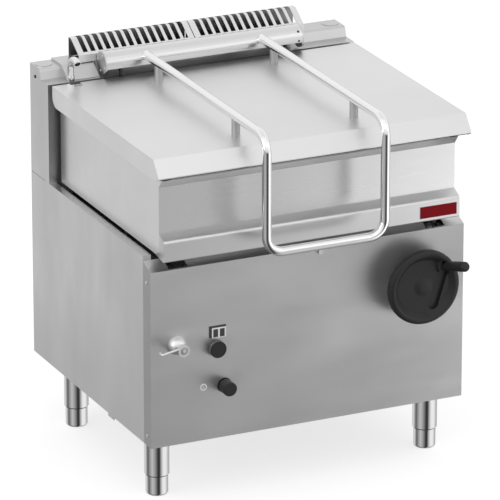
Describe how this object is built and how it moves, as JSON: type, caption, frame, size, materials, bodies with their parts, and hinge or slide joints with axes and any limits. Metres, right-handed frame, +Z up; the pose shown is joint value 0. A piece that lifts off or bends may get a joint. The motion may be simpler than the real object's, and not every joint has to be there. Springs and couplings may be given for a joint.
{
  "type": "tilting bratt pan",
  "caption": "Gas-heated tilting bratt pan on legs: hinged lid on a rear spring barrel, U-shaped tube handle, swan-neck tap, and a handwheel that tilts the pan through worm and sector gears.",
  "frame": {"origin": "on the floor, under the middle of the bounding box", "axes": "+X to the right for someone at the controls, +Y from the controls to the flue, +Z up"},
  "size_m": [0.803, 0.8594, 0.9329],
  "materials": {
    "stainless": "brushed stainless sheet",
    "polished_steel": "smooth stainless",
    "lid_steel": "satin stainless",
    "grille_steel": "satin stainless",
    "chrome": "polished",
    "leg_chrome": "polished stainless tube",
    "fastener_steel": "satin",
    "black_plastic": "semi-matt moulded",
    "machined_steel": "machined",
    "black_steel": "black coated",
    "bronze": "machined",
    "pipe_steel": "galvanised",
    "pipe_brass": "drawn tube",
    "frame_steel": "grey paint",
    "heat_steel": "heat-tinted sheet",
    "base_plate": "rolled steel plate",
    "mineral_wool": "compressed fibre",
    "buffer_rubber": "matt",
    "badge": "bare dark red plate"
  },
  "bodies": {
    "cabinet": {"base_frame": "frame_steel", "side_panel_left": "stainless", "side_panel_right": "stainless", "back_panel": "stainless", "front_panel": "stainless", "rear_housing": "stainless", "flue_duct": "heat_steel", "flue_grille_left": "grille_steel", "flue_grille_right": "grille_steel", "housing_plugs": "fastener_steel", "leg_sleeves": "leg_chrome", "leg_feet": "leg_chrome", "pivot_bracket_left": "frame_steel", "pivot_bracket_right": "frame_steel", "pivot_pins": "machined_steel", "gear_bracket": "frame_steel", "gear_bushes": "bronze", "pan_rests": "buffer_rubber", "fire_box": "heat_steel", "burner_tubes": "heat_steel", "gas_manifold": "pipe_steel", "gas_inlet": "pipe_steel", "gas_valve": "bronze", "pilot_igniter": "heat_steel", "piezo_housing": "black_plastic", "tap_valve": "chrome", "water_inlet": "pipe_brass", "water_pipe": "pipe_brass", "water_spout": "chrome", "panel_screws": "fastener_steel"},
    "pan": {"pan_well": "polished_steel", "pan_base": "base_plate", "pan_jacket": "stainless", "pan_insulation": "mineral_wool", "front_trim": "stainless", "badge_plate": "badge", "pan_lug_left": "frame_steel", "pan_lug_right": "frame_steel", "sector_gear": "machined_steel", "lug_bushes": "bronze", "hinge_bracket_left": "frame_steel", "hinge_bracket_right": "frame_steel", "hinge_shaft": "machined_steel", "hinge_springs": "heat_steel"},
    "lid": {"lid_shell": "lid_steel", "barrel_cover": "stainless", "barrel_discs": "stainless", "disc_screws": "fastener_steel", "handle_tube": "chrome", "handle_standoffs": "chrome"},
    "tilt_wheel": {"handwheel": "black_plastic", "worm_shaft": "machined_steel"},
    "cross_drive": {"cross_shaft": "machined_steel", "worm_wheel": "bronze", "drive_pinion": "machined_steel"},
    "grip_hinge": {"grip_arm": "black_steel"},
    "grip": {"grip_sleeve": "black_plastic"},
    "gas_control": {"gas_knob": "black_plastic"},
    "igniter": {"igniter_button": "black_plastic"},
    "tap": {"tap_lever": "chrome"}
  },
  "joints": [
    {"name": "pan_tilt", "type": "hinge", "parent": "cabinet", "child": "pan", "pos_m": [0, -0.26434, 0.566], "axis": [1, 0, 0], "range_deg": [0, 60]},
    {"name": "lid_hinge", "type": "hinge", "parent": "pan", "child": "lid", "pos_m": [0, 0.31266, 0.887], "axis": [-1, 0, 0], "range_deg": [0, 85]},
    {"name": "wheel_spin", "type": "hinge", "parent": "cabinet", "child": "tilt_wheel", "pos_m": [0.2723, -0.32634, 0.4585], "axis": [0, 1, 0], "range_deg": [0, 3840]},
    {"name": "cross_spin", "type": "hinge", "parent": "cabinet", "child": "cross_drive", "pos_m": [0, -0.14468, 0.5035], "axis": [1, 0, 0], "range_deg": [-240, 0]},
    {"name": "grip_fold", "type": "hinge", "parent": "tilt_wheel", "child": "grip_hinge", "pos_m": [0.3266, -0.33634, 0.5031], "axis": [0.9537, 0, -0.3007], "range_deg": [0, 104]},
    {"name": "grip_spin", "type": "hinge", "parent": "grip_hinge", "child": "grip", "pos_m": [0.3266, -0.33634, 0.5031], "axis": [0.0879, -0.9563, 0.2788], "continuous": true},
    {"name": "gas_turn", "type": "hinge", "parent": "cabinet", "child": "gas_control", "pos_m": [-0.236, -0.30134, 0.373], "axis": [0, 1, 0], "range_deg": [-270, 0]},
    {"name": "igniter_press", "type": "slide", "parent": "cabinet", "child": "igniter", "axis": [0, 1, 0], "range_m": [0, 0.005], "stiffness_N_per_m": 300},
    {"name": "tap_turn", "type": "hinge", "parent": "cabinet", "child": "tap", "pos_m": [-0.335, -0.32234, 0.395], "axis": [0, 1, 0], "range_deg": [0, 90]}
  ],
  "couplings": [
    {"joint": "cross_spin", "follows": "pan_tilt", "ratio": -4},
    {"joint": "wheel_spin", "follows": "pan_tilt", "ratio": 64}
  ]
}
